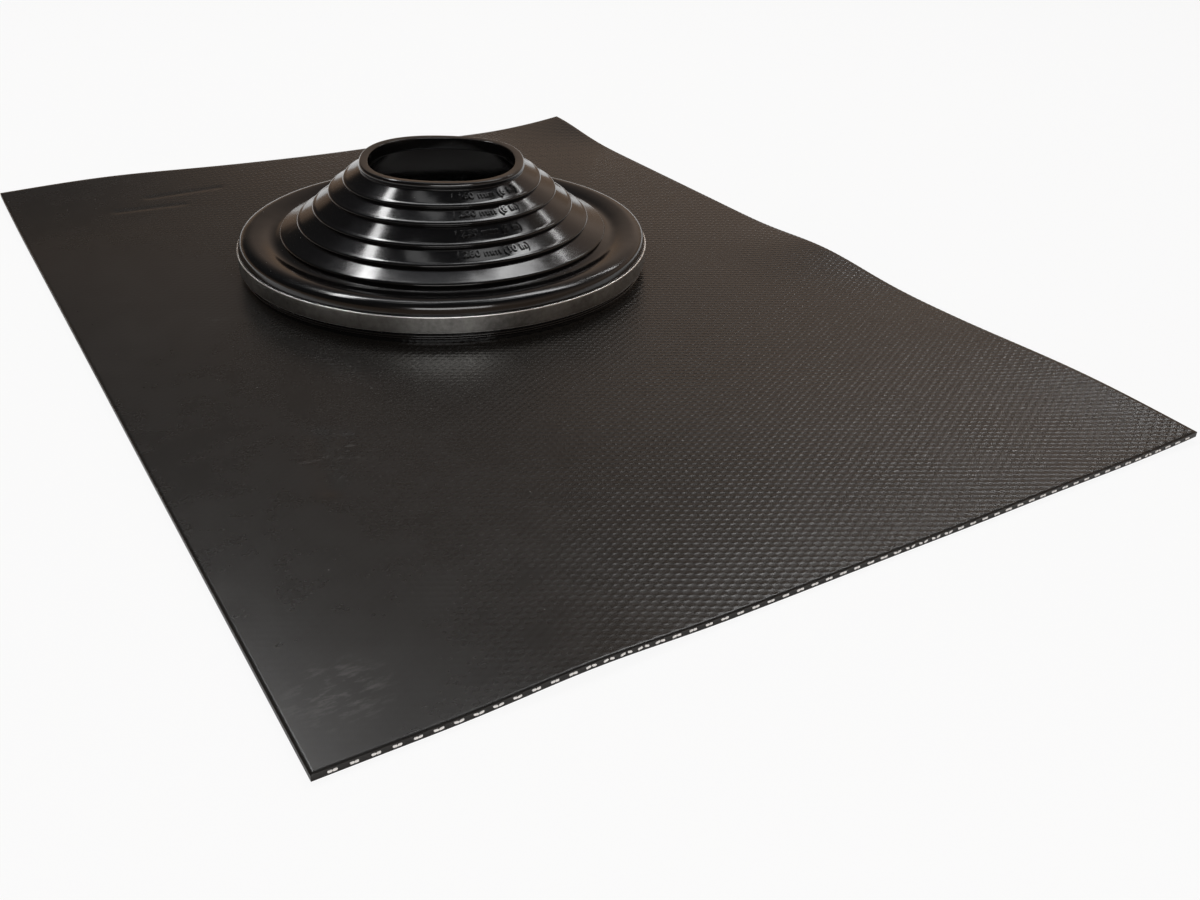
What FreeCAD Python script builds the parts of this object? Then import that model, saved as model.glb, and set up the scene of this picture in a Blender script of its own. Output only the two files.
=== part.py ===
"""Pipe flashing boot for a roof.

A stepped rubber cone stands on a black flashing sheet, and a metal band holds its skirt.
The sheet is rubber with an expanded aluminium mesh inside, cut off plainly at the two short ends.

Millimetres, +Z up. The origin is the middle of the sheet's underside, on the surface it lies on.
+Y runs along the sheet, towards the short end that the boot is nearer to.
"""
import FreeCAD, Part
import math
import os
import Sketcher

from FreeCAD import Vector

# Every driving size, in millimetres: alias, value, what it is.
SIZES = [
    # the sheet
    ("sheet_width", 640.0, "across the sheet, along X"),
    ("sheet_length", 900.0, "along the sheet, along Y"),
    ("sheet_thick", 3.8, "rubber and mesh together"),
    ("hole_inset", 7.2, "edge of the hole in the sheet, in from the foot flange"),
    ("boot_offset", 91.0, "boot's axis from the middle of the sheet, along +Y"),
    # the mesh in the sheet
    ("mesh_thick", 0.9, "expanded aluminium, over its strands"),
    ("mesh_cover", 1.5, "rubber under the mesh"),
    ("mesh_margin", 6.0, "plain rubber beside the mesh at the long edges"),
    ("mesh_pitch", 10.5, "from one cut strand to the next"),
    ("mesh_notch", 5.2, "half-open diamond at a cut end, across"),
    ("mesh_notch_depth", 2.9, "half-open diamond at a cut end, into the sheet"),
    # how far in from an edge the sheet lies in waves
    ("right_wave_reach", 110.0, "from the right edge"),
    ("back_wave_reach", 160.0, "from the back edge"),
    ("front_wave_reach", 90.0, "from the front edge"),
    # the boot, from the opening outwards and from the sheet's top face up
    ("bore_radius", 66.0, "pipe opening in the lip"),
    ("lip_width", 8.2, "from the opening to the lip's outside"),
    ("lip_bevel", 2.2, "slanted edges of the lip's top"),
    ("lip_height", 6.2, "from the top of the cone to the lip's top"),
    ("lip_wall", 8.4, "straight wall of the opening"),
    ("wall", 3.4, "rubber wall at the foot of the cone"),
    ("step_in", 1.6, "how far the cone steps in under each rib's crest"),
    ("step_down", 2.4, "height of that step"),
    ("rib1_out", 12.8, "first rib's crest, out from the lip"),
    ("rib2_out", 12.5, "second rib's crest, out from the first"),
    ("rib3_out", 13.5, "third rib's crest, out from the second"),
    ("rib4_out", 14.0, "fourth rib's crest, out from the third"),
    ("rib5_out", 15.5, "fifth rib's crest, out from the fourth"),
    ("valley_out", 7.0, "hollow's lowest line, out from the fifth rib"),
    ("rim_out", 15.5, "rim's highest line, out from the hollow"),
    ("skirt_out", 13.4, "skirt, out from the rim's highest line"),
    ("valley_height", 29.2, "hollow's lowest line"),
    ("rim_rise", 3.8, "rim's highest line, above the hollow"),
    ("rib5_rise", 5.1, "fifth rib's crest, above the hollow"),
    ("rib4_rise", 9.8, "fourth rib's crest, above the fifth"),
    ("rib3_rise", 11.5, "third rib's crest, above the fourth"),
    ("rib2_rise", 13.2, "second rib's crest, above the third"),
    ("rib1_rise", 10.3, "first rib's crest, above the second"),
    ("cone_rise", 8.3, "top of the cone, above the first rib"),
    ("shoulder_bevel", 5.2, "slanted shoulder of the rim, in from the skirt and down from its edge"),
    ("shoulder_drop", 1.2, "inner edge of the slanted shoulder, below the rim's highest line"),
    ("skirt_wall", 3.4, "thickness of the skirt"),
    ("foot_recess", 3.2, "how far the foot slants back under the band"),
    ("foot_width", 20.0, "flange that is bonded to the sheet"),
    ("foot_thick", 2.0, "thickness of that flange"),
    # the ring inside the skirt
    ("ring_thick", 1.6, "metal strip"),
    ("ring_width", 19.0, "height of the strip"),
    # the band outside the skirt
    ("band_thick", 1.6, "metal strip"),
    ("band_width", 14.0, "height of the strip"),
    ("band_lift", 9.4, "from the sheet's top face up to the band"),
]
RIBS = 5

# On a slope of 45 degrees, how far in and how far down the inside lies, in walls.
SLOPE_SHARE = 0.7071

# Height of a corner that lies on a section's base line.
BASE = "0"


def total(*aliases):
    """The expression that adds up driving sizes."""
    return " + ".join("Sizes." + alias for alias in aliases)


# Radii and heights that several pieces share, as expressions.
LIP_OUTER = total("bore_radius", "lip_width")
RIB_RADII = [
    LIP_OUTER + " + " + total(*["rib%d_out" % m for m in range(1, n + 1)]) for n in range(1, RIBS + 1)
]
VALLEY_RADIUS = RIB_RADII[-1] + " + " + total("valley_out")
RIM_RADIUS = VALLEY_RADIUS + " + " + total("rim_out")
SKIRT_RADIUS = RIM_RADIUS + " + " + total("skirt_out")
FOOT_INNER = SKIRT_RADIUS + " - Sizes.foot_recess - Sizes.foot_width"
HOLE_RADIUS = FOOT_INNER + " - Sizes.hole_inset"
VALLEY_HEIGHT = total("valley_height")
RIM_HEIGHT = VALLEY_HEIGHT + " + " + total("rim_rise")
RIB_HEIGHTS = [
    VALLEY_HEIGHT + " + " + total(*["rib%d_rise" % m for m in range(RIBS, n - 1, -1)])
    for n in range(1, RIBS + 1)
]
CONE_TOP = RIB_HEIGHTS[0] + " + " + total("cone_rise")
LIP_TOP = CONE_TOP + " + " + total("lip_height")

# Waves that a sheet keeps from its roll: where along the edge (0 to 1), height, half length (0 to 1).
RIGHT_WAVES = [(0.1, 5.0, 0.26), (0.435, 5.6, 0.17), (1.0, 8.3, 0.19)]
BACK_WAVES = [(0.17, 6.4, 0.62)]
FRONT_WAVES = [(0.28, 2.6, 0.22)]

# Distance between the places that a wave's surface goes through.
WAVE_STEP = 22.0

# Height of the tools that cut the sheet, in sheet thicknesses, to reach over its waves.
CLEAR_HEIGHT = 12

doc = FreeCAD.newDocument("pipe_flashing_boot")


def make_sizes():
    """Spreadsheet with every driving size in column B under its alias."""
    sheet = doc.addObject("Spreadsheet::Sheet", "Sizes")
    for row, (alias, value, note) in enumerate(SIZES, start=1):
        sheet.set("A%d" % row, alias)
        sheet.set("B%d" % row, str(value))
        sheet.set("C%d" % row, note)
        sheet.setAlias("B%d" % row, alias)
    doc.recompute()
    return sheet


sizes = make_sizes()


def size(alias):
    """A driving size as a number."""
    return float(sizes.get(alias))


# ---------------------------------------------------------------- sketches

def origin_plane(body, role):
    """One of the body's own origin planes."""
    return next(item for item in body.Origin.OriginFeatures if item.Role == role)


def new_body(name):
    """A PartDesign body whose label names its file."""
    body = doc.addObject("PartDesign::Body", name)
    body.Label = name
    return body


def section_sketch(body, name):
    """A sketch on the body's XZ plane: sketch X is the radius, sketch Y the height."""
    sketch = body.newObject("Sketcher::SketchObject", name)
    sketch.AttachmentSupport = [(origin_plane(body, "XZ_Plane"), "")]
    sketch.MapMode = "FlatFace"
    return sketch


def hold(sketch, kind, geometry, point, expression):
    """Hold a point of the sketch at an expression's distance from its origin."""
    index = sketch.addConstraint(Sketcher.Constraint(kind, -1, 1, geometry, point, 1.0))
    sketch.setExpression("Constraints[%d]" % index, expression)


def sketch_outline(sketch, corners):
    """A closed outline through corners, each a pair of expressions: radius and height."""
    spots = [Vector(number(radius), number(height), 0) for radius, height in corners]
    for start, end in zip(spots, spots[1:] + spots[:1]):
        sketch.addGeometry(Part.LineSegment(start, end), False)
    count = len(spots)
    for index, (radius, height) in enumerate(corners):
        sketch.addConstraint(Sketcher.Constraint("Coincident", index, 2, (index + 1) % count, 1))
        hold(sketch, "DistanceX", index, 1, radius)
        if height == BASE:
            sketch.addConstraint(Sketcher.Constraint("PointOnObject", index, 1, -1))
        else:
            hold(sketch, "DistanceY", index, 1, height)


def number(expression):
    """An expression's value now, so that a sketch starts where its expressions will put it."""
    return float(sizes.evalExpression(expression.replace("Sizes.", "")))


def revolve(body, sketch, name):
    """Turn a section all the way round the body's Z axis."""
    turned = body.newObject("PartDesign::Revolution", name)
    turned.Profile = sketch
    turned.ReferenceAxis = (sketch, ["V_Axis"])
    turned.Angle = 360.0
    doc.recompute()
    return turned


def stand_on_sheet(body):
    """Put a body on the sheet's top face, on the boot's axis."""
    body.setExpression("Placement.Base.y", "Sizes.boot_offset")
    body.setExpression("Placement.Base.z", "Sizes.sheet_thick")


# ---------------------------------------------------------------- boot

def make_boot():
    """One rubber moulding: lip, stepped cone, hollow, rim, upright skirt and foot flange."""
    body = new_body("boot")
    slant = "Sizes.wall * %g" % SLOPE_SHARE
    skirt_inner = SKIRT_RADIUS + " - Sizes.skirt_wall"
    shoulder = RIM_HEIGHT + " - Sizes.shoulder_drop"
    bevel_top = LIP_TOP + " - Sizes.lip_bevel"

    outside = [
        ("Sizes.bore_radius", bevel_top),
        ("Sizes.bore_radius + Sizes.lip_bevel", LIP_TOP),
        (LIP_OUTER + " - Sizes.lip_bevel", LIP_TOP),
        (LIP_OUTER, bevel_top),
        (LIP_OUTER, CONE_TOP),
    ]
    for radius, height in zip(RIB_RADII, RIB_HEIGHTS):
        outside.append((radius, height))
        outside.append((radius + " - Sizes.step_in", height + " - Sizes.step_down"))
    last_root = outside[-1]
    outside += [
        (VALLEY_RADIUS, VALLEY_HEIGHT),
        (RIM_RADIUS, RIM_HEIGHT),
        (SKIRT_RADIUS + " - Sizes.shoulder_bevel", shoulder),
        (SKIRT_RADIUS, shoulder + " - Sizes.shoulder_bevel"),
        (SKIRT_RADIUS, "Sizes.band_lift"),
        (SKIRT_RADIUS + " - Sizes.foot_recess", BASE),
    ]
    inside = [
        (FOOT_INNER, BASE),
        (FOOT_INNER, "Sizes.foot_thick"),
        (skirt_inner, "Sizes.foot_thick"),
        (skirt_inner, shoulder + " - Sizes.shoulder_bevel - Sizes.wall"),
        (RIM_RADIUS, RIM_HEIGHT + " - Sizes.wall"),
        (VALLEY_RADIUS + " - 0.5 * Sizes.wall", VALLEY_HEIGHT + " - Sizes.wall"),
        ("%s - %s" % (last_root[0], slant), "%s - %s" % (last_root[1], slant)),
        ("Sizes.bore_radius", bevel_top + " - Sizes.lip_wall"),
    ]
    section = section_sketch(body, "boot_section")
    sketch_outline(section, outside + inside)
    revolve(body, section, "boot_wall")
    stand_on_sheet(body)
    return body


# ---------------------------------------------------------------- band and ring

def make_strip(name, inner, low, thick, width):
    """A metal strip bent on edge into a closed ring round the boot's axis.

    Every size is an expression: inner radius, height of its lower edge, thickness and width.
    """
    body = new_body(name)
    outer = "%s + %s" % (inner, thick)
    top = "%s + %s" % (low, width)
    section = section_sketch(body, name + "_section")
    sketch_outline(section, [(inner, low), (outer, low), (outer, top), (inner, top)])
    revolve(body, section, name + "_strip")
    stand_on_sheet(body)
    return body


def make_band():
    """The band that goes round the outside of the skirt."""
    return make_strip("clamp_band", SKIRT_RADIUS, "Sizes.band_lift", "Sizes.band_thick", "Sizes.band_width")


def make_ring():
    """The ring inside the skirt, on the foot flange, that the band presses the skirt against."""
    inner = SKIRT_RADIUS + " - Sizes.skirt_wall - Sizes.ring_thick"
    return make_strip("support_ring", inner, "Sizes.foot_thick", "Sizes.ring_thick", "Sizes.ring_width")


# ---------------------------------------------------------------- sheet and mesh

def wave_height(share, waves):
    """Height of an edge at a share of its length: a sum of single waves, each a squared cosine hump."""
    height = 0.0
    for middle, crest, half_length in waves:
        away = abs(share - middle) / half_length
        if away < 1:
            height += crest * ((1 + math.cos(math.pi * away)) / 2) ** 2
    return height


def lift(x, y):
    """How high the sheet lies at a place: nothing in the middle, growing with the square of the way out."""
    half_width = size("sheet_width") / 2
    half_length = size("sheet_length") / 2
    right = size("right_wave_reach")
    back = size("back_wave_reach")
    front = size("front_wave_reach")
    flat_width = 2 * half_width - right
    across = (x + half_width) / flat_width
    along = (y + half_length) / (2 * half_length)
    if across > 1:
        out = (across - 1) * flat_width / right
        return out**2 * wave_height(along, RIGHT_WAVES)
    if y > half_length - back:
        out = (y - half_length + back) / back
        return out**2 * wave_height(across, BACK_WAVES)
    if y < front - half_length:
        out = (front - half_length - y) / front
        return out**2 * wave_height(across, FRONT_WAVES)
    return 0.0


def spread(low, high):
    """Even places from low to high, about WAVE_STEP apart and at least four, and the step between them."""
    gaps = max(3, round((high - low) / WAVE_STEP))
    step = (high - low) / gaps
    return [low + step * gap for gap in range(gaps + 1)], step


def patch(low_x, high_x, low_y, high_y, height):
    """One patch of the sheet's surface: a surface through lift() at a grid of places.

    The grid is even, so that two patches have the same curve where they meet.
    """
    places_x, step_x = spread(low_x, high_x)
    places_y, step_y = spread(low_y, high_y)
    heights = [[height + lift(x, y) for y in places_y] for x in places_x]
    surface = Part.BSplineSurface()
    surface.interpolate(heights, low_x, step_x, low_y, step_y)
    return surface.toShape()


def flat_patch(low_x, high_x, low_y, high_y, height):
    """The plane patch in the middle of the sheet."""
    corners = [(low_x, low_y), (high_x, low_y), (high_x, high_y), (low_x, high_y), (low_x, low_y)]
    return Part.Face(Part.makePolygon([Vector(x, y, height) for x, y in corners]))


def wall(edge, thick):
    """The upright wall from an edge to the same edge thick higher."""
    up = Vector(0, 0, thick)
    start = edge.firstVertex().Point
    end = edge.lastVertex().Point
    sides = [edge, Part.makeLine(end, end + up), edge.translated(up), Part.makeLine(start, start + up)]
    return Part.Face(Part.Wire(Part.__sortEdges__(sides)))


def make_layer(name, height, thick, margin):
    """A whole layer of the sheet, margin narrower at each long edge: two by three patches and walls.

    The middle patch is plane. The patches along the right, back and front edges lie in waves.
    """
    half_width = size("sheet_width") / 2
    half_length = size("sheet_length") / 2
    columns = [margin - half_width, half_width - size("right_wave_reach"), half_width - margin]
    rows = [
        -half_length,
        size("front_wave_reach") - half_length,
        half_length - size("back_wave_reach"),
        half_length,
    ]
    under = []
    for column, (low_x, high_x) in enumerate(zip(columns, columns[1:])):
        for row, (low_y, high_y) in enumerate(zip(rows, rows[1:])):
            make = flat_patch if (column, row) == (0, 1) else patch
            under.append(make(low_x, high_x, low_y, high_y, height))
    skin = Part.Compound(under)
    skin.sewShape()
    edges = [edge for edge in skin.Edges if len(skin.ancestorsOfType(edge, Part.Face)) == 1]
    faces = skin.Faces + [wall(edge, thick) for edge in edges]
    faces += [face.translated(Vector(0, 0, thick)) for face in skin.Faces]
    shell = Part.Compound(faces)
    shell.sewShape()
    solid = Part.Solid(shell.Shells[0])
    if solid.Volume < 0:
        solid.reverse()
    layer = doc.addObject("Part::Feature", name)
    layer.Shape = solid
    return layer


def cut(name, base, tool):
    """Base without tool."""
    result = doc.addObject("Part::Cut", name)
    result.Base = base
    result.Tool = tool
    return result


def make_hole(name):
    """The round hole in the sheet, on the boot's axis."""
    hole = doc.addObject("Part::Cylinder", name)
    hole.setExpression("Radius", HOLE_RADIUS)
    hole.setExpression("Height", "3 * Sizes.sheet_thick")
    hole.setExpression("Placement.Base.y", "Sizes.boot_offset")
    hole.setExpression("Placement.Base.z", "-Sizes.sheet_thick")
    return hole


def make_notches(name, side):
    """The row of half-open diamonds along one short end, side -1 or 1, as one toothed block.

    The block lies against the end from outside, and its teeth reach in between the cut strands.
    """
    end = side * size("sheet_length") / 2
    back = end + side * size("mesh_margin")
    tip = end - side * size("mesh_notch_depth")
    half = size("mesh_notch") / 2
    pitch = size("mesh_pitch")
    free = size("sheet_width") - 2 * size("mesh_margin") - size("mesh_notch")
    count = int(free // pitch) + 1
    low = -size("sheet_thick")
    high = Vector(0, 0, CLEAR_HEIGHT * size("sheet_thick"))
    teeth = []
    for place in range(count):
        middle = (place - (count - 1) / 2) * pitch
        teeth += [Vector(middle - half, end, low), Vector(middle, tip, low), Vector(middle + half, end, low)]
    corners = teeth + [Vector(teeth[-1].x, back, low), Vector(teeth[0].x, back, low), teeth[0]]
    notches = doc.addObject("Part::Feature", name)
    notches.Shape = Part.Face(Part.makePolygon(corners)).extrude(high)
    return notches


def make_sheet():
    """The sheet: a rubber slab, and the aluminium mesh in it that shows at the two short ends."""
    layer = make_layer("mesh_layer", size("mesh_cover"), size("mesh_thick"), size("mesh_margin"))
    mesh = cut("mesh_front_row", layer, make_notches("front_row", -1))
    mesh = cut("mesh_both_rows", mesh, make_notches("back_row", 1))
    mesh = cut("expanded_mesh", mesh, make_hole("mesh_hole"))

    slab = make_layer("rubber_slab", 0.0, size("sheet_thick"), 0.0)
    slab = cut("slab_with_room", slab, layer)
    rubber = cut("flashing_sheet", slab, make_hole("slab_hole"))
    return rubber, mesh


# ---------------------------------------------------------------- the whole part

def check(parts):
    """Stop if any object of the document failed, or a sub-part has no sound solid."""
    for item in doc.Objects:
        if "Invalid" in item.State or "Error" in item.State:
            raise RuntimeError("%s failed: %s" % (item.Label, item.State))
    for part in parts:
        if part.Shape.isNull() or not part.Shape.isValid() or not part.Shape.Solids:
            raise RuntimeError("%s has no sound solid" % part.Label)


def export(parts):
    """One STEP file for each sub-part, named by its label."""
    os.makedirs("parts", exist_ok=True)
    for part in parts:
        part.Shape.exportStep("parts/%s.step" % part.Label)
        box = part.Shape.BoundBox
        print(part.Label, len(part.Shape.Solids), "solid", round(part.Shape.Volume), "mm3", box)


boot = make_boot()
band = make_band()
ring = make_ring()
flashing_sheet, expanded_mesh = make_sheet()
doc.recompute()
sub_parts = [boot, band, ring, flashing_sheet, expanded_mesh]
check(sub_parts)
export(sub_parts)
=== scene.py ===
"""Looks of the pipe flashing boot: a glossy stepped rubber cone, its metal band and ring, and the black
sheet embossed by the mesh inside it. Metres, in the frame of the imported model."""
import math

import bpy
import numpy as np
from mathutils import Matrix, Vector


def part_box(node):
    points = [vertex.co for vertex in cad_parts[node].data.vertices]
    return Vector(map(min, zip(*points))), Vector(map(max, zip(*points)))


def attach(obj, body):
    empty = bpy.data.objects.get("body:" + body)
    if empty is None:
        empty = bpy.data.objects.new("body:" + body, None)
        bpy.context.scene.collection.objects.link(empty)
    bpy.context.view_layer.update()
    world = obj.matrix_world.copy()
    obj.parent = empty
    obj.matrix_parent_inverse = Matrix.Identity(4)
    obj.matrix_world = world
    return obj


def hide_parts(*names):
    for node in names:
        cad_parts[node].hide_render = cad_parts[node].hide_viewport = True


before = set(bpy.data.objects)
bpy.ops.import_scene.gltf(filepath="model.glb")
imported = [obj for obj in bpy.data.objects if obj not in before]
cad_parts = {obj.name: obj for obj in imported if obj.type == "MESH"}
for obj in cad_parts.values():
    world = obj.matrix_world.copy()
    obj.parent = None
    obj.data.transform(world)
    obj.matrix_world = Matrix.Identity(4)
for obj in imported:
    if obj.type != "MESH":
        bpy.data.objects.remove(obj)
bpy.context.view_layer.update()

MM = 0.001
BOOT_LOW, BOOT_HIGH = (np.array(corner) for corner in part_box("boot"))
BAND_LOW, BAND_HIGH = (np.array(corner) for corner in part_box("clamp_band"))
RING_LOW, RING_HIGH = (np.array(corner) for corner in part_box("support_ring"))
SHEET_LOW, SHEET_HIGH = (np.array(corner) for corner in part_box("flashing_sheet"))
AXIS = (BOOT_LOW + BOOT_HIGH)[:2] / 2
SHEET_TOP = BOOT_LOW[2]
SKIRT_RADIUS = (BOOT_HIGH[0] - BOOT_LOW[0]) / 2
HALF_WIDTH = (SHEET_HIGH[0] - SHEET_LOW[0]) / 2
HALF_LENGTH = (SHEET_HIGH[1] - SHEET_LOW[1]) / 2

# ---------------------------------------------------------------- camera

# Horizontal turn from +Y, look down, roll, distance, and where the boot's foot lies off the aim point.
CAMERA_TURN = math.radians(-32.439)
CAMERA_DOWN = math.radians(30.356)
CAMERA_ROLL = math.radians(1.81)
CAMERA_DISTANCE = 1.0717
CAMERA_SIDE = 0.1396
CAMERA_SINK = 0.1688
LENS = 35.438
SENSOR_WIDTH = 36.0
VIEW_RIGHT = np.array([math.cos(CAMERA_TURN), math.sin(CAMERA_TURN), 0])
VIEW_NEAR = np.array([math.sin(CAMERA_TURN), -math.cos(CAMERA_TURN), 0])
UP = np.array([0.0, 0.0, 1.0])


def place_thing(thing, side, top, back, place):
    """Put a camera or lamp at a place, with its own axes X, Y and Z along side, top and back."""
    matrix = np.eye(4)
    matrix[:3, 0] = side
    matrix[:3, 1] = top
    matrix[:3, 2] = back
    matrix[:3, 3] = place
    thing.matrix_world = matrix.T


def make_camera():
    """The camera, beside and above the boot, rolled a little."""
    back = math.cos(CAMERA_DOWN) * VIEW_NEAR + math.sin(CAMERA_DOWN) * UP
    upright = np.cross(back, VIEW_RIGHT)
    side = math.cos(CAMERA_ROLL) * VIEW_RIGHT + math.sin(CAMERA_ROLL) * upright
    top = math.cos(CAMERA_ROLL) * upright - math.sin(CAMERA_ROLL) * VIEW_RIGHT
    foot = np.array([AXIS[0], AXIS[1], 0])
    place = foot + CAMERA_SIDE * side - CAMERA_SINK * top + CAMERA_DISTANCE * back
    camera = bpy.data.objects.new("camera", bpy.data.cameras.new("camera"))
    bpy.context.scene.collection.objects.link(camera)
    place_thing(camera, side, top, back, place)
    camera.data.sensor_width = SENSOR_WIDTH
    camera.data.lens = LENS
    camera.data.clip_start = 0.05
    bpy.context.scene.camera = camera


make_camera()

# ---------------------------------------------------------------- meshes


def mesh_piece(name, points, faces, material, sizes=None, flat=0):
    """A mesh object from vertex positions and faces. faces is an array of quads, or with sizes a flat
    array of corners and the number of corners of each face. The last faces, flat of them, are not
    shaded smooth."""
    mesh = bpy.data.meshes.new(name)
    corners = np.asarray(faces, dtype=np.int32).ravel()
    if sizes is None:
        sizes = np.full(len(corners) // 4, 4, dtype=np.int32)
    starts = np.concatenate([[0], np.cumsum(sizes)[:-1]]).astype(np.int32)
    mesh.vertices.add(len(points))
    mesh.vertices.foreach_set("co", np.asarray(points, dtype=np.float32).ravel())
    mesh.loops.add(len(corners))
    mesh.loops.foreach_set("vertex_index", corners)
    mesh.polygons.add(len(sizes))
    mesh.polygons.foreach_set("loop_start", starts)
    mesh.polygons.foreach_set("loop_total", np.asarray(sizes, dtype=np.int32))
    mesh.polygons.foreach_set("use_smooth", np.arange(len(sizes)) < len(sizes) - flat)
    mesh.update(calc_edges=True)
    mesh.validate()
    mesh.materials.append(material)
    piece = bpy.data.objects.new(name, mesh)
    bpy.context.scene.collection.objects.link(piece)
    return piece


def grid_faces(rows, columns, close_rows=False, close_columns=False):
    """Quads between neighbours of a grid of vertices numbered row by row."""
    index = np.arange(rows * columns).reshape(rows, columns)
    if close_rows:
        index = np.concatenate([index, index[:1]], axis=0)
    if close_columns:
        index = np.concatenate([index, index[:, :1]], axis=1)
    quads = [index[:-1, :-1], index[:-1, 1:], index[1:, 1:], index[1:, :-1]]
    return np.stack(quads, axis=-1).reshape(-1, 4)


ARC_POINTS = 6


def rounded(corners):
    """A closed outline with its corners rounded off.

    Each corner is (radius, height, rounding) in millimetres. A corner is replaced by a quadratic curve
    (1 - t)^2 a + 2 t (1 - t) corner + t^2 b, where a and b lie on its two sides, rounding away from it.
    """
    data = np.array(corners, dtype=float)
    spots = data[:, :2]
    before = np.roll(spots, 1, axis=0) - spots
    after = np.roll(spots, -1, axis=0) - spots
    length_before = np.linalg.norm(before, axis=1)
    length_after = np.linalg.norm(after, axis=1)
    reach = np.minimum(data[:, 2], 0.48 * np.minimum(length_before, length_after))
    start = spots + before * (reach / length_before)[:, None]
    end = spots + after * (reach / length_after)[:, None]
    t = np.linspace(0, 1, ARC_POINTS)[None, :, None]
    curve = (1 - t) ** 2 * start[:, None] + 2 * t * (1 - t) * spots[:, None] + t**2 * end[:, None]
    return curve.reshape(-1, 2)


def around_axis(radius, angle, height):
    """Points round the boot's axis, from radius and height above the sheet in millimetres."""
    return np.stack(
        [
            AXIS[0] + MM * radius * np.cos(angle),
            AXIS[1] + MM * radius * np.sin(angle),
            SHEET_TOP + MM * height,
        ],
        axis=-1,
    )


def turned(name, outline, segments, material, warp=None):
    """A closed outline turned round the boot's axis.

    A point of the outline at radius r and height z goes to r (cos a, sin a) and z above the sheet. warp
    gives a factor for r from the angle a and z.
    """
    angles = np.linspace(0, 2 * math.pi, segments, endpoint=False)
    radius = outline[:, 0][:, None] * np.ones(segments)
    height = outline[:, 1][:, None] * np.ones(segments)
    if warp is not None:
        radius = radius * warp(angles[None, :], height)
    points = around_axis(radius, angles, height)
    faces = grid_faces(len(outline), segments, close_rows=True, close_columns=True)
    return mesh_piece(name, points.reshape(-1, 3), faces, material)


# ---------------------------------------------------------------- node helpers


class Tree:
    """Short words for building a node tree."""

    def __init__(self, tree):
        self.nodes = tree.nodes
        self.links = tree.links

    def node(self, kind, **inputs):
        """A node, with its inputs as values or other nodes' outputs."""
        made = self.nodes.new(kind)
        for key, value in inputs.items():
            self.feed(made.inputs[key.replace("_", " ")], value)
        return made

    def feed(self, socket, value):
        """Link an output to a socket, or set its value."""
        if isinstance(value, bpy.types.NodeSocket):
            self.links.new(value, socket)
        else:
            socket.default_value = value

    def math(self, operation, *values):
        """A Math node's output."""
        made = self.nodes.new("ShaderNodeMath")
        made.operation = operation
        for socket, value in zip(made.inputs, values):
            self.feed(socket, value)
        return made.outputs[0]

    def remap(self, value, low, high, to_low, to_high):
        """A value from one range to another, held at its ends."""
        made = self.nodes.new("ShaderNodeMapRange")
        for socket, number in zip(made.inputs, (value, low, high, to_low, to_high)):
            self.feed(socket, number)
        return made.outputs[0]

    def mix(self, factor, first, second):
        """Two colours mixed."""
        made = self.nodes.new("ShaderNodeMix")
        made.data_type = "RGBA"
        self.feed(made.inputs[0], factor)
        self.feed(made.inputs[6], first)
        self.feed(made.inputs[7], second)
        return made.outputs[2]

    def noise(self, vector, scale, detail=2.0, roughness=0.5):
        """A noise texture's value."""
        made = self.node("ShaderNodeTexNoise", Vector=vector, Scale=scale, Detail=detail)
        self.feed(made.inputs["Roughness"], roughness)
        return made.outputs["Fac"]

    def scaled(self, vector, factors):
        """A vector with each part multiplied."""
        made = self.nodes.new("ShaderNodeVectorMath")
        made.operation = "MULTIPLY"
        self.feed(made.inputs[0], vector)
        made.inputs[1].default_value = factors
        return made.outputs[0]

    def dot(self, vector, direction):
        """How far a vector goes in a fixed direction."""
        made = self.nodes.new("ShaderNodeVectorMath")
        made.operation = "DOT_PRODUCT"
        self.feed(made.inputs[0], vector)
        made.inputs[1].default_value = tuple(direction)
        return made.outputs["Value"]


def new_group(name, inputs, outputs):
    """A shader node group with float inputs (name, value) and outputs (name, type)."""
    group = bpy.data.node_groups.new(name, "ShaderNodeTree")
    for label, value in inputs:
        socket = group.interface.new_socket(label, in_out="INPUT", socket_type="NodeSocketFloat")
        socket.default_value = value
    for label, kind in outputs:
        group.interface.new_socket(label, in_out="OUTPUT", socket_type=kind)
    tree = Tree(group)
    return group, tree, tree.node("NodeGroupInput"), tree.node("NodeGroupOutput")


def make_dust_group():
    """Fine pale specks: small cells, of which only a few get a speck. Gives a mask from 0 to 1."""
    inputs = [("Scale", 300.0), ("Share", 0.05), ("Size", 0.25)]
    group, tree, given, result = new_group("dust_specks", inputs, [("Mask", "NodeSocketFloat")])
    place = tree.node("ShaderNodeTexCoord").outputs["Object"]
    cells = tree.node("ShaderNodeTexVoronoi", Vector=place, Scale=given.outputs["Scale"])
    near = tree.math("LESS_THAN", cells.outputs["Distance"], given.outputs["Size"])
    pick = tree.node("ShaderNodeSeparateColor", Color=cells.outputs["Color"]).outputs["Red"]
    chosen = tree.math("LESS_THAN", pick, given.outputs["Share"])
    tree.feed(result.inputs["Mask"], tree.math("MULTIPLY", near, chosen))
    return group


def make_haze_group():
    """Soft large patches with a finer break-up over them, for handling marks. Gives a value near 0.5."""
    inputs = [("Scale", 6.0), ("Fine Scale", 60.0), ("Fine Share", 0.3)]
    group, tree, given, result = new_group("handling_haze", inputs, [("Value", "NodeSocketFloat")])
    place = tree.node("ShaderNodeTexCoord").outputs["Object"]
    broad = tree.noise(place, given.outputs["Scale"], 3.0)
    fine = tree.noise(place, given.outputs["Fine Scale"], 4.0, 0.6)
    share = given.outputs["Fine Share"]
    rest = tree.math("SUBTRACT", 1.0, share)
    both = tree.math("ADD", tree.math("MULTIPLY", broad, rest), tree.math("MULTIPLY", fine, share))
    tree.feed(result.inputs["Value"], both)
    return group


DUST = make_dust_group()
HAZE = make_haze_group()


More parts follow.
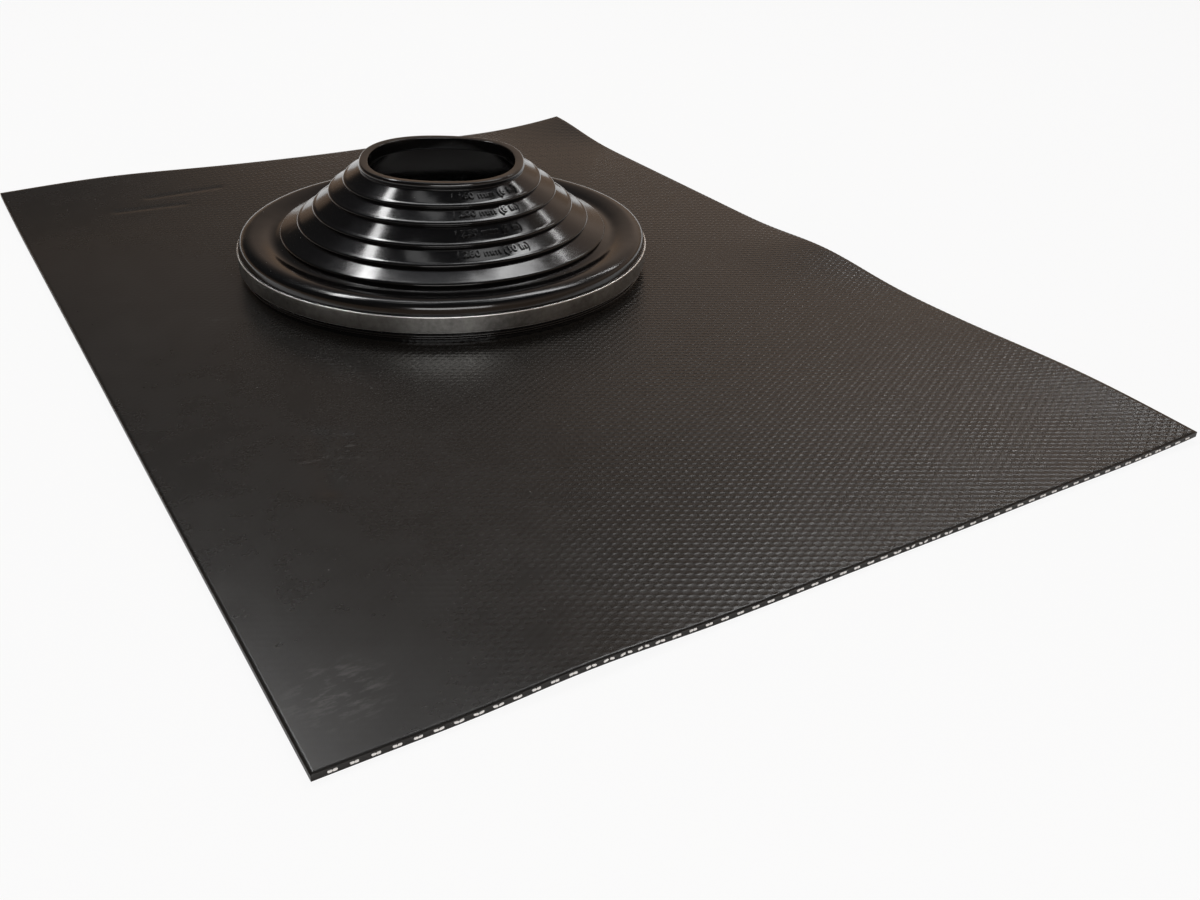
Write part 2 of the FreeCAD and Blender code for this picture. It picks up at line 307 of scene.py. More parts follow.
def use_group(tree, group, **values):
    """A group placed in a material, with its own values. Gives its first output."""
    made = tree.nodes.new("ShaderNodeGroup")
    made.node_tree = group
    for key, value in values.items():
        made.inputs[key.replace("_", " ")].default_value = value
    return made.outputs[0]


def new_material(name):
    """A material with its Principled BSDF."""
    material = bpy.data.materials.new(name)
    material.use_nodes = True
    tree = Tree(material.node_tree)
    return material, tree, material.node_tree.nodes["Principled BSDF"]


def bump(tree, height, strength, distance, normal=None):
    """A Bump node's normal."""
    made = tree.node("ShaderNodeBump", Height=height, Strength=strength, Distance=distance)
    if normal is not None:
        tree.feed(made.inputs["Normal"], normal)
    return made.outputs["Normal"]


# ---------------------------------------------------------------- materials

MESH_PITCH = 10.5 * MM
MESH_ROW = 5.75 * MM

# The skin is thicker toward the left: the emboss fades between these two X, from one strength to another.
FADE = (-0.24, 0.02, 0.06, 1.0)


def make_boot_rubber():
    """Glossy black moulded rubber: faint waves in its gloss, handling haze and a little dust."""
    material, tree, shader = new_material("glossy_boot_rubber")
    place = tree.node("ShaderNodeTexCoord").outputs["Object"]
    haze = use_group(tree, HAZE, Scale=14.0, Fine_Scale=160.0, Fine_Share=0.35)
    dust = use_group(tree, DUST, Scale=520.0, Share=0.004, Size=0.15)
    shade = tree.mix(haze, (0.0022, 0.0022, 0.0024, 1), (0.0045, 0.0042, 0.0042, 1))
    tree.feed(shader.inputs["Base Color"], tree.mix(dust, shade, (0.16, 0.15, 0.14, 1)))
    gloss = tree.remap(haze, 0.3, 0.7, 0.09, 0.18)
    tree.feed(shader.inputs["Roughness"], tree.math("ADD", gloss, tree.math("MULTIPLY", dust, 0.4)))
    waves = bump(tree, tree.noise(place, 34.0, 1.5), 0.35, 0.0009)
    grain = bump(tree, tree.noise(place, 900.0, 2.0), 0.12, 0.00012, waves)
    tree.feed(shader.inputs["Normal"], grain)
    shader.inputs["IOR"].default_value = 1.52
    return material


def make_scuff_group():
    """A patch of pale rubbed streaks: a soft-edged oval, broken up by stretched noise. Gives a mask."""
    inputs = [("X", 0.0), ("Y", 0.0), ("Radius", 0.03), ("Cover", 0.5)]
    group, tree, given, result = new_group("pale_scuff", inputs, [("Mask", "NodeSocketFloat")])
    place = tree.node("ShaderNodeTexCoord").outputs["Object"]
    parts = tree.node("ShaderNodeSeparateXYZ", Vector=place).outputs
    away = [
        tree.math("DIVIDE", tree.math("SUBTRACT", parts[axis], given.outputs[axis]), given.outputs["Radius"])
        for axis in ("X", "Y")
    ]
    squares = tree.math("ADD", *[tree.math("MULTIPLY", one, one) for one in away])
    inside = tree.math("SUBTRACT", 1.0, tree.math("MINIMUM", squares, 1.0))
    streaks = tree.noise(tree.scaled(place, (90.0, 240.0, 90.0)), 1.0, 5.0, 0.65)
    above = tree.math("SUBTRACT", tree.math("ADD", streaks, given.outputs["Cover"]), 1.0)
    broken = tree.math("MAXIMUM", tree.math("MULTIPLY", above, 5.0), 0.0)
    tree.feed(result.inputs["Mask"], tree.math("MINIMUM", tree.math("MULTIPLY", broken, inside), 1.0))
    return group


SCUFF = make_scuff_group()

# Scuffs on the sheet: place, radius and cover.
SCUFFS = [
    (-0.289, -0.404, 0.030, 0.50),
    (-0.223, 0.055, 0.016, 0.46),
    (-0.215, -0.190, 0.035, 0.42),
    (0.060, -0.420, 0.040, 0.42),
    (-0.140, 0.180, 0.040, 0.42),
]


def make_sheet_rubber():
    """Semi-gloss black rubber over the mesh: the diamonds stand out faintly, with scuffs and dust."""
    material, tree, shader = new_material("embossed_sheet_rubber")
    place = tree.node("ShaderNodeTexCoord").outputs["Object"]
    parts = tree.node("ShaderNodeSeparateXYZ", Vector=place).outputs
    across = tree.math("COSINE", tree.math("MULTIPLY", parts["X"], 2 * math.pi / MESH_PITCH))
    along = tree.math("COSINE", tree.math("MULTIPLY", parts["Y"], 2 * math.pi / MESH_ROW))
    wave = tree.math("MULTIPLY", across, along)
    knuckles = tree.math("POWER", tree.remap(wave, -1.0, 1.0, 0.0, 1.0), 2.0)
    lattice = tree.math("MULTIPLY", knuckles, tree.remap(parts["X"], *FADE))
    haze = use_group(tree, HAZE, Scale=4.0, Fine_Scale=45.0, Fine_Share=0.35)
    dust = use_group(tree, DUST, Scale=240.0, Share=0.012, Size=0.12)
    marks = dust
    for x, y, radius, cover in SCUFFS:
        scuff = use_group(tree, SCUFF, X=x, Y=y, Radius=radius, Cover=cover)
        marks = tree.math("MAXIMUM", marks, tree.math("MULTIPLY", scuff, 0.5))
    shade = tree.mix(haze, (0.008, 0.0078, 0.0072, 1), (0.017, 0.0155, 0.014, 1))
    tree.feed(shader.inputs["Base Color"], tree.mix(marks, shade, (0.14, 0.135, 0.13, 1)))
    worn = tree.remap(haze, 0.3, 0.7, 0.24, 0.34)
    scuffed = tree.math("ADD", worn, tree.math("MULTIPLY", marks, 0.25))
    polished = tree.math("SUBTRACT", scuffed, tree.math("MULTIPLY", lattice, 0.14))
    tree.feed(shader.inputs["Roughness"], polished)
    relief = bump(tree, lattice, 0.6, 0.00045)
    grain = bump(tree, tree.noise(place, 1300.0, 3.0), 0.15, 0.00012, relief)
    tree.feed(shader.inputs["Normal"], grain)
    return material


def make_strip_metal(name, colour, low_gloss, high_gloss, low, high):
    """Satin rolled strip between two heights: fine lines along it, stains, and a painted highlight along its
    top and bottom edges.
    """
    material, tree, shader = new_material(name)
    place = tree.node("ShaderNodeTexCoord").outputs["Object"]
    lines = tree.noise(tree.scaled(place, (3.0, 3.0, 900.0)), 8.0, 4.0, 0.7)
    haze = use_group(tree, HAZE, Scale=18.0, Fine_Scale=220.0, Fine_Share=0.4)
    darker = tuple(0.5 * part for part in colour) + (1,)
    stained = tree.mix(tree.remap(haze, 0.38, 0.62, 0.0, 1.0), darker, colour + (1,))
    height = tree.node("ShaderNodeSeparateXYZ", Vector=place).outputs["Z"]
    # Painted highlight: near the top and bottom edges the base colour goes almost white, standing in for the
    # light those edges catch.
    off_middle = tree.math("ABSOLUTE", tree.math("SUBTRACT", height, (low + high) / 2))
    edge_highlight = tree.remap(off_middle, 0.43 * (high - low), 0.47 * (high - low), 0.0, 1.0)
    tree.feed(shader.inputs["Base Color"], tree.mix(edge_highlight, stained, (0.95, 0.95, 0.93, 1)))
    tree.feed(shader.inputs["Roughness"], tree.remap(lines, 0.3, 0.7, low_gloss, high_gloss))
    tree.feed(shader.inputs["Normal"], bump(tree, lines, 0.15, 0.00008))
    shader.inputs["Metallic"].default_value = 1.0
    return material


def make_strand_metal():
    """Bright cut aluminium, whitened where the shears dragged over it."""
    material, tree, shader = new_material("cut_aluminium")
    haze = use_group(tree, HAZE, Scale=300.0, Fine_Scale=1500.0, Fine_Share=0.5)
    tree.feed(shader.inputs["Base Color"], tree.mix(haze, (0.82, 0.82, 0.81, 1), (1.0, 1.0, 0.99, 1)))
    tree.feed(shader.inputs["Roughness"], tree.remap(haze, 0.3, 0.7, 0.35, 0.55))
    shader.inputs["Metallic"].default_value = 0.15
    return material


BOOT_RUBBER = make_boot_rubber()
SHEET_RUBBER = make_sheet_rubber()
BAND_METAL = make_strip_metal("satin_band", (0.41, 0.41, 0.395), 0.28, 0.42, BAND_LOW[2], BAND_HIGH[2])
RING_METAL = make_strip_metal("satin_ring", (0.5, 0.5, 0.48), 0.3, 0.46, RING_LOW[2], RING_HIGH[2])
STRAND_METAL = make_strand_metal()

# ---------------------------------------------------------------- boot

# Crests of the ribs: radius, height above the sheet, in millimetres.
RIBS = [(87.0, 79.1), (99.5, 68.8), (113.0, 55.6), (127.0, 44.1), (142.5, 34.3)]
BORE = 66.0
LIP_OUTER = 74.2
LIP_TOP = (BOOT_HIGH[2] - SHEET_TOP) / MM
SKIRT = SKIRT_RADIUS / MM
BAND_FOOT = (BAND_LOW[2] - SHEET_TOP) / MM
BAND_TOP = (BAND_HIGH[2] - SHEET_TOP) / MM
SKIRT_WALL = 3.4
FOOT_BORE = 155.2
FOOT_THICK = 2.0
BOOT_SEGMENTS = 288

# The lip has settled a little out of round: share of its radius, and direction of the bulge.
OVAL = (0.024, math.radians(105))
SQUARE = (0.028, math.radians(15))


def lip_warp(angle, height):
    """Factor for the radius: 1 + w (o cos 2(a - d) + s cos 4(a - e)); w grows from 0 at the third rib to
    1 at the lip."""
    weight = np.clip((height - RIBS[2][1]) / (LIP_TOP - RIBS[2][1]), 0, 1) ** 1.5
    oval = OVAL[0] * np.cos(2 * (angle - OVAL[1]))
    square = SQUARE[0] * np.cos(4 * (angle - SQUARE[1]))
    return 1 + weight * (oval + square - OVAL[0] * 0.5)


def boot_outline():
    """The rubber's closed outline: lip bead, bands with a rounded crest at the foot of each, rim, skirt,
    foot, and back up the inside."""
    corners = [
        (BORE, LIP_TOP - 0.3, 0.8),
        (LIP_OUTER - 1.0, LIP_TOP + 0.1, 1.3),
        (LIP_OUTER + 0.2, LIP_TOP - 2.0, 1.4),
        (LIP_OUTER - 0.2, LIP_TOP - 4.4, 1.1),
        (LIP_OUTER - 1.4, LIP_TOP - 5.6, 0.8),
    ]
    for radius, height in RIBS:
        corners += [
            (radius - 2.6, height + 1.7, 0.9),
            (radius - 0.4, height + 0.9, 0.7),
            (radius + 0.4, height - 0.3, 0.4),
            (radius - 0.5, height - 1.9, 0.6),
            (radius - 2.2, height - 2.4, 0.5),
        ]
    corners += [
        (149.5, 29.0, 4.0),
        (159.0, 32.6, 4.5),
        (169.0, 34.2, 5.0),
        (SKIRT - 1.6, 31.6, 4.0),
        (SKIRT + 0.3, BAND_TOP + 1.0, 2.0),
        (SKIRT - 0.2, BAND_TOP - 0.6, 0.8),
        (SKIRT - 0.2, BAND_FOOT + 0.4, 0.4),
        (SKIRT - 2.2, BAND_FOOT - 1.0, 0.8),
        (SKIRT - 2.6, 5.4, 0.5),
        (SKIRT - 0.9, 4.5, 0.5),
        (SKIRT - 1.3, 3.4, 0.5),
        (SKIRT - 3.0, 2.8, 0.5),
        (SKIRT - 3.0, 0.0, 0.3),
        (FOOT_BORE, 0.0, 0.4),
        (FOOT_BORE, FOOT_THICK, 0.6),
        (SKIRT - SKIRT_WALL, FOOT_THICK, 0.3),
        (SKIRT - SKIRT_WALL, 23.2, 2.0),
        (165.0, 29.6, 4.0),
        (147.8, 25.8, 3.0),
        (138.5, 29.5, 2.0),
        (BORE, 83.0, 1.0),
    ]
    return rounded(corners)


def make_boot():
    """The rubber moulding."""
    piece = turned("boot_moulding", boot_outline(), BOOT_SEGMENTS, BOOT_RUBBER, lip_warp)
    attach(piece, "root")
    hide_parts("boot")


# ---------------------------------------------------------------- moulded numbers

# Plain sizes on the bands, and the angle at which each line of figures starts.
MARKS = ["160 mm (6 in)", "200 mm (8 in)", "230 mm (9 in)", "260 mm (10 in)"]
MARK_HEIGHT = 6.6
MARK_RAISE = 1.0
MARK_START = math.radians(-110.0)
# Height of a figure as a share of the font's size.
FIGURE_SHARE = 0.7


def place_on_cone(points, top, bottom, start):
    """Flat text laid on a band of the cone.

    Text x runs round the band from the start angle, text y up the slope from near its foot, and text z
    stands off along the slope's normal.
    """
    slope = np.array(bottom) - np.array(top)
    length = np.linalg.norm(slope)
    slope = slope / length
    normal = np.array([-slope[1], slope[0]])
    normal = normal * np.sign(normal[0])
    up_slope = (length - MARK_HEIGHT) / 2 + points[:, 1]
    radius = bottom[0] - slope[0] * up_slope + normal[0] * points[:, 2]
    height = bottom[1] - slope[1] * up_slope + normal[1] * points[:, 2]
    angle = start + points[:, 0] / ((top[0] + bottom[0]) / 2)
    radius = radius * lip_warp(angle, height)
    return around_axis(radius, angle, height)


def text_mesh(words):
    """The words as a raised flat mesh, in millimetres: vertices and faces."""
    curve = bpy.data.curves.new("figures", "FONT")
    curve.body = words
    curve.size = MARK_HEIGHT / FIGURE_SHARE
    curve.extrude = MARK_RAISE
    curve.bevel_depth = 0.2
    curve.resolution_u = 3
    holder = bpy.data.objects.new("figures", curve)
    bpy.context.scene.collection.objects.link(holder)
    mesh = bpy.data.meshes.new_from_object(holder)
    points = np.empty(len(mesh.vertices) * 3, dtype=np.float32)
    mesh.vertices.foreach_get("co", points)
    corners = np.empty(len(mesh.loops), dtype=np.int32)
    mesh.loops.foreach_get("vertex_index", corners)
    sizes = np.empty(len(mesh.polygons), dtype=np.int32)
    mesh.polygons.foreach_get("loop_total", sizes)
    bpy.data.objects.remove(holder)
    bpy.data.curves.remove(curve)
    bpy.data.meshes.remove(mesh)
    return points.reshape(-1, 3), corners, sizes


def make_marks():
    """Raised figures on the first four bands, each line beginning with an upright tick."""
    roots = [(LIP_OUTER - 1.4, LIP_TOP - 5.6)] + [(radius - 2.2, height - 2.4) for radius, height in RIBS]
    for number, words in enumerate(MARKS):
        points, corners, sizes = text_mesh("| " + words)
        crest = (RIBS[number][0] - 2.6, RIBS[number][1] + 1.7)
        placed = place_on_cone(points, roots[number], crest, MARK_START)
        piece = mesh_piece("band_figures_%d" % (number + 1), placed, corners, BOOT_RUBBER, sizes)
        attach(piece, "root")


# ---------------------------------------------------------------- band and ring

STRIP_THICK = 1.6
STRIP_EDGE = 0.7


def strip_outline(inner, outer, low, high, edge):
    """A strip's section with rounded edges and a slight crown on its outside."""
    middle = (low + high) / 2
    corners = [
        (inner, low, edge),
        (outer - 0.1, low, edge),
        (outer, middle, (high - low) / 3),
        (outer - 0.1, high, edge),
        (inner, high, edge),
    ]
    return rounded(corners)[::-1]


def make_strip(name, node, low, high, material):
    """A metal strip closed into a ring, from its node's box."""
    outer = (high[0] - low[0]) / 2 / MM
    bottom = (low[2] - SHEET_TOP) / MM
    top = (high[2] - SHEET_TOP) / MM
    outline = strip_outline(outer - STRIP_THICK, outer, bottom, top, STRIP_EDGE)
    piece = turned(name, outline, BOOT_SEGMENTS, material)
    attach(piece, "root")
    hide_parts(node)


# ---------------------------------------------------------------- sheet

# Waves along the edges: middle as a share of the edge, height in millimetres, half length as a share.
RIGHT_WAVES = [(0.1, 5.0, 0.26), (0.435, 5.6, 0.17), (1.0, 8.3, 0.19)]
BACK_WAVES = [(0.17, 6.4, 0.62)]
FRONT_WAVES = [(0.28, 2.6, 0.22)]
RIGHT_REACH = 0.110
BACK_REACH = 0.160
FRONT_REACH = 0.090

# Creases and dents: start, end, depth in millimetres, half width in metres.
CREASES = [
    ((-0.194, 0.377), (-0.122, 0.382), 0.7, 0.004),
    ((-0.230, 0.350), (-0.168, 0.347), 0.6, 0.004),
    ((-0.211, -0.160), (-0.228, -0.227), 0.7, 0.008),
    ((-0.196, -0.170), (-0.226, -0.226), 0.6, 0.006),
]
EMBOSS = 0.14
# The sheet lies flat out to this distance from the boot's axis, and its folds grow beyond it, in metres.
FLAT_RADIUS = 0.185
FOLD_GROWTH = 0.10
HOLE_RADIUS = 148.0
HOLE_SIDES = 160
# Heights of the tool that cuts the hole, below and above the sheet, in metres.
HOLE_TOOL = (-0.01, 0.02)


def wave_height(share, waves):
    """Sum of squared cosine humps along an edge."""
    height = np.zeros_like(share)
    for middle, crest, half_length in waves:
        away = np.clip(np.abs(share - middle) / half_length, 0, 1)
        height += crest * ((1 + np.cos(math.pi * away)) / 2) ** 2
    return height


def lift(x, y):
    """How high the sheet lies, in millimetres: waves along its right, back and front edges, growing with
    the square of the way out."""
    flat_width = 2 * HALF_WIDTH - RIGHT_REACH
    across = (x + HALF_WIDTH) / flat_width
    along = (y + HALF_LENGTH) / (2 * HALF_LENGTH)
    right = np.clip((across - 1) * flat_width / RIGHT_REACH, 0, 1)
    back = np.clip((y - HALF_LENGTH + BACK_REACH) / BACK_REACH, 0, 1)
    front = np.clip((FRONT_REACH - HALF_LENGTH - y) / FRONT_REACH, 0, 1)
    inside = across <= 1
    height = right**2 * wave_height(along, RIGHT_WAVES)
    height += inside * back**2 * wave_height(across, BACK_WAVES)
    height += inside * front**2 * wave_height(across, FRONT_WAVES)
    return height


def crease(x, y, start, end, depth, half_width):
    """Depth of a crease: depth exp(-(d / w)^2), d the distance from the line between its ends."""
    start = np.array(start)
    line = np.array(end) - start
    part = np.clip(((x - start[0]) * line[0] + (y - start[1]) * line[1]) / (line @ line), 0, 1)
    away = np.hypot(x - start[0] - part * line[0], y - start[1] - part * line[1])
    return depth * np.exp(-((away / half_width) ** 2))


def unevenness(x, y):
    """Faint long folds, in millimetres, that leave the sheet flat round the boot."""
    folds = 0.45 * np.sin(21 * x + 6 * y + 0.6) * np.sin(9 * y - 4 * x)
    folds = folds + 0.35 * np.sin(38 * x - 11 * y + 2.1)
    away = np.clip((np.hypot(x - AXIS[0], y - AXIS[1]) - FLAT_RADIUS) / FOLD_GROWTH, 0, 1)
    return 0.8 * (folds + 0.8) * away * 0.5


def emboss(x, y):
    """The mesh under the skin, e ((1 + cos(2 pi x / L) cos(2 pi y / S)) / 2)^2: a long knuckle wherever
    two strands join, and a hollow in the middle of each diamond."""
    wave = np.cos(2 * math.pi * x / MESH_PITCH) * np.cos(2 * math.pi * y / MESH_ROW)
    return EMBOSS * np.interp(x, FADE[:2], FADE[2:]) * ((1 + wave) / 2) ** 2


def make_sheet():
    """The sheet as one closed shell: a fine embossed face, a coarser underside, and walls between.

    The face is a grid a quarter of a diamond wide and half a diamond long. Every fourth column and
    row of it has a vertex on the underside. Each square of it folds along the diagonal that starts at
    a knuckle.
    """
    columns = 4 * round(2 * HALF_WIDTH / MESH_PITCH) + 1
    rows = 4 * round(HALF_LENGTH / MESH_ROW) + 1
    x, y = np.meshgrid(
        np.linspace(-HALF_WIDTH, HALF_WIDTH, columns), np.linspace(-HALF_LENGTH, HALF_LENGTH, rows)
    )
    height = lift(x, y) + unevenness(x, y)
    dents = sum(crease(x, y, *values) for values in CREASES)
    top = np.stack([x, y, SHEET_TOP + MM * (height + emboss(x, y) - dents - EMBOSS)], axis=-1)
    bottom = np.stack([x, y, MM * height], axis=-1)[::4, ::4]
    top_index = np.arange(rows * columns).reshape(rows, columns)
    low_index = rows * columns + np.arange(bottom.shape[0] * bottom.shape[1]).reshape(bottom.shape[:2])
    face = grid_faces(rows, columns)
    row, column = np.divmod(np.arange(len(face)), columns - 1)
    turned_over = ((column + 1) // 2 + row + column) % 2 == 1
    face[turned_over] = np.roll(face[turned_over], -1, axis=1)
    under = grid_faces(*bottom.shape[:2])[:, ::-1] + rows * columns
    walls = []
    sides = [
        (top_index[0], low_index[0]),
        (top_index[:, -1], low_index[:, -1]),
        (top_index[-1][::-1], low_index[-1][::-1]),
        (top_index[::-1, 0], low_index[::-1, 0]),
    ]
    for upper, lower in sides:
        count = len(lower) - 1
        fives = np.stack([upper[4 - k : len(upper) - k : 4] for k in range(5)], axis=1)[:count]
        walls.append(np.concatenate([lower[:-1, None], lower[1:, None], fives], axis=1))
    walls = np.concatenate(walls)
    corners = np.concatenate([face.ravel(), under.ravel(), walls.ravel()])
    sizes = np.concatenate([np.full(len(face) + len(under), 4), np.full(len(walls), 7)])
    points = np.concatenate([top.reshape(-1, 3), bottom.reshape(-1, 3)])
    slab = mesh_piece("sheet_laminate", points, corners, SHEET_RUBBER, sizes, len(walls))
    cut_hole(slab)
    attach(slab, "root")
    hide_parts("flashing_sheet")


def cut_hole(slab):
    """The round hole under the boot, cut through the shell with a cylinder."""
    angles = np.linspace(0, 2 * math.pi, HOLE_SIDES, endpoint=False)
    ring = np.stack(
        [
            AXIS[0] + MM * HOLE_RADIUS * np.cos(angles),
            AXIS[1] + MM * HOLE_RADIUS * np.sin(angles),
        ]
    )
    low, high = (np.vstack([ring, np.full(HOLE_SIDES, end)]).T for end in HOLE_TOOL)
    index = np.arange(HOLE_SIDES)
    after = np.roll(index, -1)
    walls = np.stack([index, after, after + HOLE_SIDES, index + HOLE_SIDES], axis=1)
    corners = np.concatenate([walls.ravel(), index[::-1], index + HOLE_SIDES])
    sizes = np.concatenate([np.full(HOLE_SIDES, 4), [HOLE_SIDES, HOLE_SIDES]])
    cutter = mesh_piece("hole_cutter", np.concatenate([low, high]), corners, SHEET_RUBBER, sizes)
    cut = slab.modifiers.new("hole", "BOOLEAN")
    cut.operation = "DIFFERENCE"
    cut.object = cutter
    cut.solver = "EXACT"
    bpy.context.view_layer.update()
    cut_mesh = bpy.data.meshes.new_from_object(slab.evaluated_get(bpy.context.evaluated_depsgraph_get()))
    slab.modifiers.clear()
    slab.data = cut_mesh
    bpy.data.objects.remove(cutter)


# ---------------------------------------------------------------- cut ends of the mesh

STRAND_WIDTH = 2.7
STRAND_THICK = 1.4
STRAND_HEIGHT = 2.1
# How far a strand end stands out of the sheet's edge and reaches into the sheet, in metres.
STRAND_OUT = 0.0003
STRAND_IN = 0.004
# An end's section: shares of its width, and of half its thickness.
STRAND_SECTION = [(0, -0.4), (0.15, -1), (0.85, -1), (1, -0.4), (1, 0.4), (0.85, 1), (0.15, 1), (0, 0.4)]


def make_strand_ends():
    """Two strand ends for each diamond along the two cut edges. They join into one where the cut meets a
    knuckle and part where it drifts away, tilted like a roof or a trough. Each leans into the sheet."""
    count = round(2 * HALF_WIDTH / MESH_PITCH) - 1
    middles = (np.arange(count) - (count - 1) / 2) * MESH_PITCH
    prisms = []
    for side, drift in ((-1, 0.7), (1, 2.4)):
        slope = np.sin(13 * middles + drift) * np.cos(31 * middles + 2 * drift)
        apart = 0.9 + 1.3 * slope**2 + 0.15 * np.sin(970 * middles)
        near = np.maximum(apart - STRAND_WIDTH / 2, 0.03)
        far = apart + STRAND_WIDTH / 2
        for lean in (-1, 1):
            outer_y = side * (HALF_LENGTH + STRAND_OUT)
            base = lift(middles, np.full(count, side * HALF_LENGTH)) + unevenness(middles, outer_y)
            base += STRAND_HEIGHT + 0.2 * np.sin(7 * middles + 3 * drift)
            ends = []
            for end_y, shift in ((outer_y, 0.0), (side * (HALF_LENGTH - STRAND_IN), 1.2)):
                for across, rise in STRAND_SECTION:
                    x = middles + MM * lean * (near + (far - near) * across + shift)
                    z = MM * (base + 0.7 * slope * (0.5 - across) + rise * STRAND_THICK / 2)
                    ends.append(np.stack([x, np.full(count, end_y), z], axis=-1))
            prism = np.stack(ends, axis=1)
            order = np.r_[0:8, 8:16] if lean * side < 0 else np.r_[7:-1:-1, 15:7:-1]
            prisms.append(prism[:, order])
    prisms = np.concatenate(prisms)
    index = np.arange(8)
    after = np.roll(index, -1)
    walls = np.stack([index, index + 8, after + 8, after], axis=1)
    corners = np.concatenate([walls.ravel(), index, index[::-1] + 8])
    sizes = np.tile([4] * 8 + [8, 8], len(prisms))
    faces = np.arange(len(prisms))[:, None] * 16 + corners
    piece = mesh_piece("cut_strand_ends", prisms.reshape(-1, 3), faces, STRAND_METAL, sizes, len(sizes))
    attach(piece, "root")
    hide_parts("expanded_mesh")


make_boot()
make_marks()
make_strip("clamp_band_strip", "clamp_band", BAND_LOW, BAND_HIGH, BAND_METAL)
make_strip("support_ring_strip", "support_ring", RING_LOW, RING_HIGH, RING_METAL)
make_sheet()
make_strand_ends()

# ---------------------------------------------------------------- floor, world and lamps

WHITE = (1, 1, 1, 1)
FLOOR_HALF = 6.0
FLOOR_DROP = 0.0004
# Distance outside the sheet from which reflections see the floor's glow.
GLOW_MARGIN = 0.07
LAMP_AIM_HEIGHT = 0.05


def make_floor():
    """A pale plain floor that keeps the object's shadow.

    It doesn't glow under the sheet, where it is seen through the pipe's opening. Reflections see its
    glow only from a hand's width outside the sheet.
    """
    turns = ((-1, -1), (1, -1), (1, 1), (-1, 1))
    corners = [(x * FLOOR_HALF, y * FLOOR_HALF, -FLOOR_DROP) for x, y in turns]
    material, tree, shader = new_material("pale_floor")
    shader.inputs["Base Color"].default_value = (0.86, 0.86, 0.86, 1)
    shader.inputs["Roughness"].default_value = 0.9
    shader.inputs["Specular IOR Level"].default_value = 0.1
    glow = tree.node("ShaderNodeEmission", Strength=1.0)
    glow.inputs["Color"].default_value = WHITE
    place = tree.node("ShaderNodeTexCoord").outputs["Object"]
    share = tree.scaled(place, (1 / (HALF_WIDTH + GLOW_MARGIN), 1 / (HALF_LENGTH + GLOW_MARGIN), 1.0))
    parts = tree.node("ShaderNodeSeparateXYZ", Vector=share).outputs
    out = tree.math("MAXIMUM", tree.math("ABSOLUTE", parts["X"]), tree.math("ABSOLUTE", parts["Y"]))
    lit = tree.remap(out, 1.0, 1.2, 0.0, 1.0)
    path = tree.node("ShaderNodeLightPath").outputs
    straight = tree.math("MAXIMUM", path["Is Camera Ray"], path["Is Transmission Ray"])
    straight = tree.math("MULTIPLY", straight, tree.math("GREATER_THAN", out, 0.75))
    seen = tree.math("MAXIMUM", straight, tree.math("MULTIPLY", path["Is Glossy Ray"], lit))
    blend = tree.node("ShaderNodeMixShader")
    tree.feed(blend.inputs[0], tree.math("MULTIPLY", seen, 0.9))
    tree.links.new(shader.outputs[0], blend.inputs[1])
    tree.links.new(glow.outputs[0], blend.inputs[2])
    output = tree.nodes["Material Output"]
    tree.links.new(blend.outputs[0], output.inputs["Surface"])
    floor = mesh_piece("floor", np.array(corners), np.array([[0, 1, 2, 3]]), material)


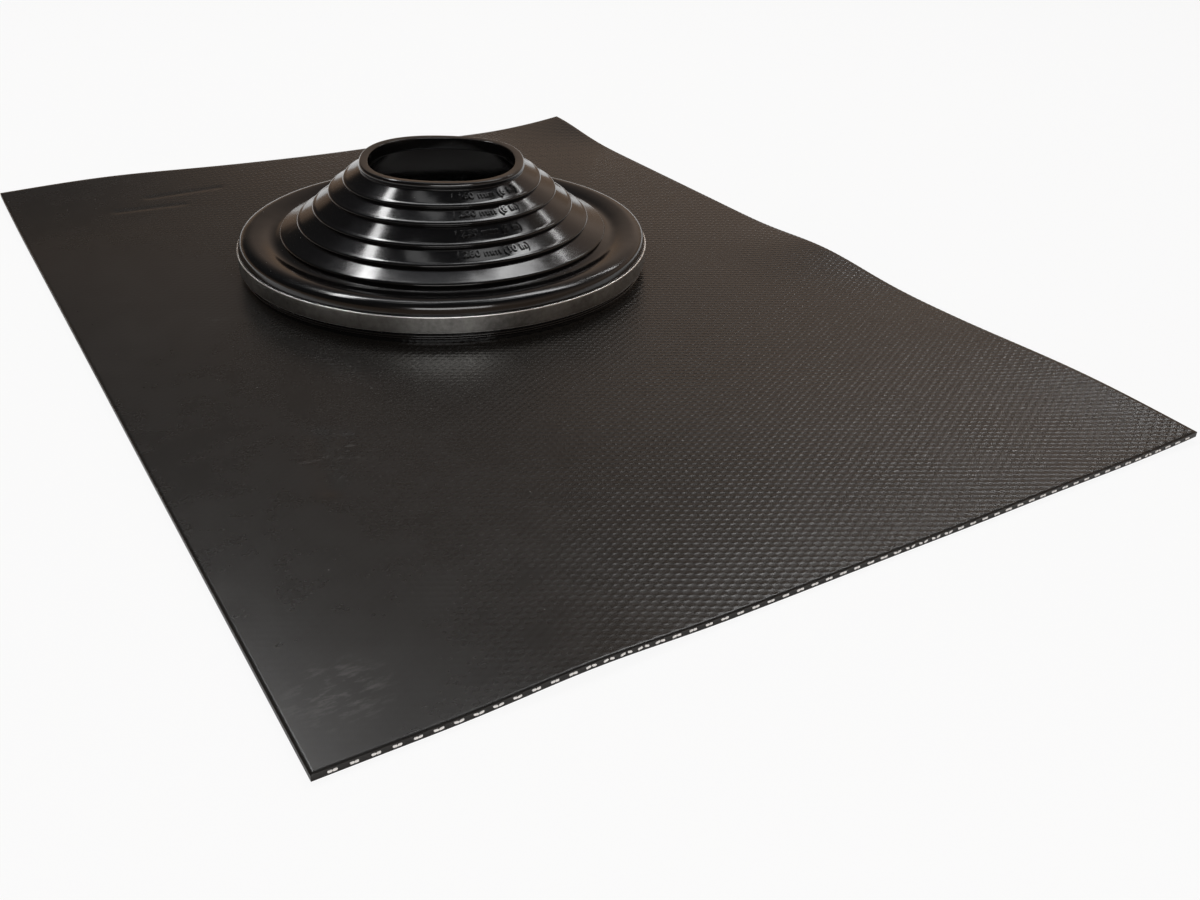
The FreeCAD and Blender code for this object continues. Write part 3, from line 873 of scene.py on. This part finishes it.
def make_world():
    """A dim room: a brown wall low down, brighter toward the right, a pale slope of ceiling on the far
    side, and dark straight overhead.

    The camera sees it white, and reflections see a white strip at the horizon, where the floor runs out.
    """
    world = bpy.data.worlds.new("dim_room")
    bpy.context.scene.world = world
    world.use_nodes = True
    tree = Tree(world.node_tree)
    shader = tree.nodes["Background"]
    direction = tree.node("ShaderNodeTexCoord").outputs["Generated"]
    side = tree.remap(tree.dot(direction, VIEW_RIGHT), -0.48, 0.14, 0.0, 1.0)
    rise = tree.node("ShaderNodeSeparateXYZ", Vector=direction).outputs["Z"]
    height = tree.remap(rise, 0.30, 0.85, 0.0, 1.0)
    low = tree.mix(side, (0.030, 0.029, 0.028, 1), (0.50, 0.385, 0.31, 1))
    ceiling = tree.math(
        "MULTIPLY",
        tree.remap(tree.dot(direction, -VIEW_NEAR), 0.22, 0.42, 0.0, 1.0),
        tree.remap(rise, 0.66, 0.80, 0.0, 1.0),
    )
    high = tree.mix(ceiling, (0.05, 0.052, 0.057, 1), (0.34, 0.35, 0.37, 1))
    room = tree.mix(height, low, high)
    room = tree.mix(tree.remap(rise, 0.16, 0.28, 1.0, 0.0), room, (0.32, 0.225, 0.16, 1))
    path = tree.node("ShaderNodeLightPath").outputs
    straight = tree.math("MAXIMUM", path["Is Camera Ray"], path["Is Transmission Ray"])
    horizon = tree.math("MULTIPLY", path["Is Glossy Ray"], tree.math("LESS_THAN", rise, 0.03))
    seen = tree.math("MAXIMUM", straight, horizon)
    tree.feed(shader.inputs["Color"], tree.mix(seen, room, WHITE))
    shader.inputs["Strength"].default_value = 1.0


def make_lamp(name, direction, distance, width, tall, power, spin=0.0):
    """A soft rectangular lamp aimed at the boot, direction given as (right, near, up) parts in the view,
    and turned about its own axis by spin."""
    right, near, up = direction
    away = right * VIEW_RIGHT + near * VIEW_NEAR + up * UP
    away = away / np.linalg.norm(away)
    aim = np.array([AXIS[0], AXIS[1], LAMP_AIM_HEIGHT])
    light = bpy.data.lights.new(name, "AREA")
    light.shape = "RECTANGLE"
    light.size = width
    light.size_y = tall
    light.energy = power
    lamp = bpy.data.objects.new(name, light)
    bpy.context.scene.collection.objects.link(lamp)
    side = np.cross(UP, away)
    side = side / np.linalg.norm(side)
    top = np.cross(away, side)
    side, top = math.cos(spin) * side + math.sin(spin) * top, math.cos(spin) * top - math.sin(spin) * side
    place_thing(lamp, side, top, away, aim + distance * away)


make_floor()
make_world()
make_lamp("left_skylight", (-0.44, -0.30, 0.85), 2.5, 1.25, 0.22, 13.0, math.radians(12))
make_lamp("right_window", (0.44, -0.65, 0.61), 4.2, 1.5, 0.12, 7.0, math.radians(28.5))
make_lamp("ceiling_strip", (0.25, -0.50, 0.83), 2.6, 0.9, 0.5, 7.0)
make_lamp("overhead_panel", (0.21, -0.22, 0.95), 2.5, 0.5, 0.5, 1.3)
make_lamp("overhead_tube", (-0.17, -0.17, 0.97), 2.5, 0.7, 0.28, 0.7)
make_lamp("far_tube", (0.05, -0.46, 0.88), 2.6, 3.0, 0.22, 8.0)
make_lamp("front_panel", (0.15, 0.88, 0.42), 2.3, 1.6, 0.6, 18.0)

bpy.context.scene.view_settings.view_transform = "Standard"
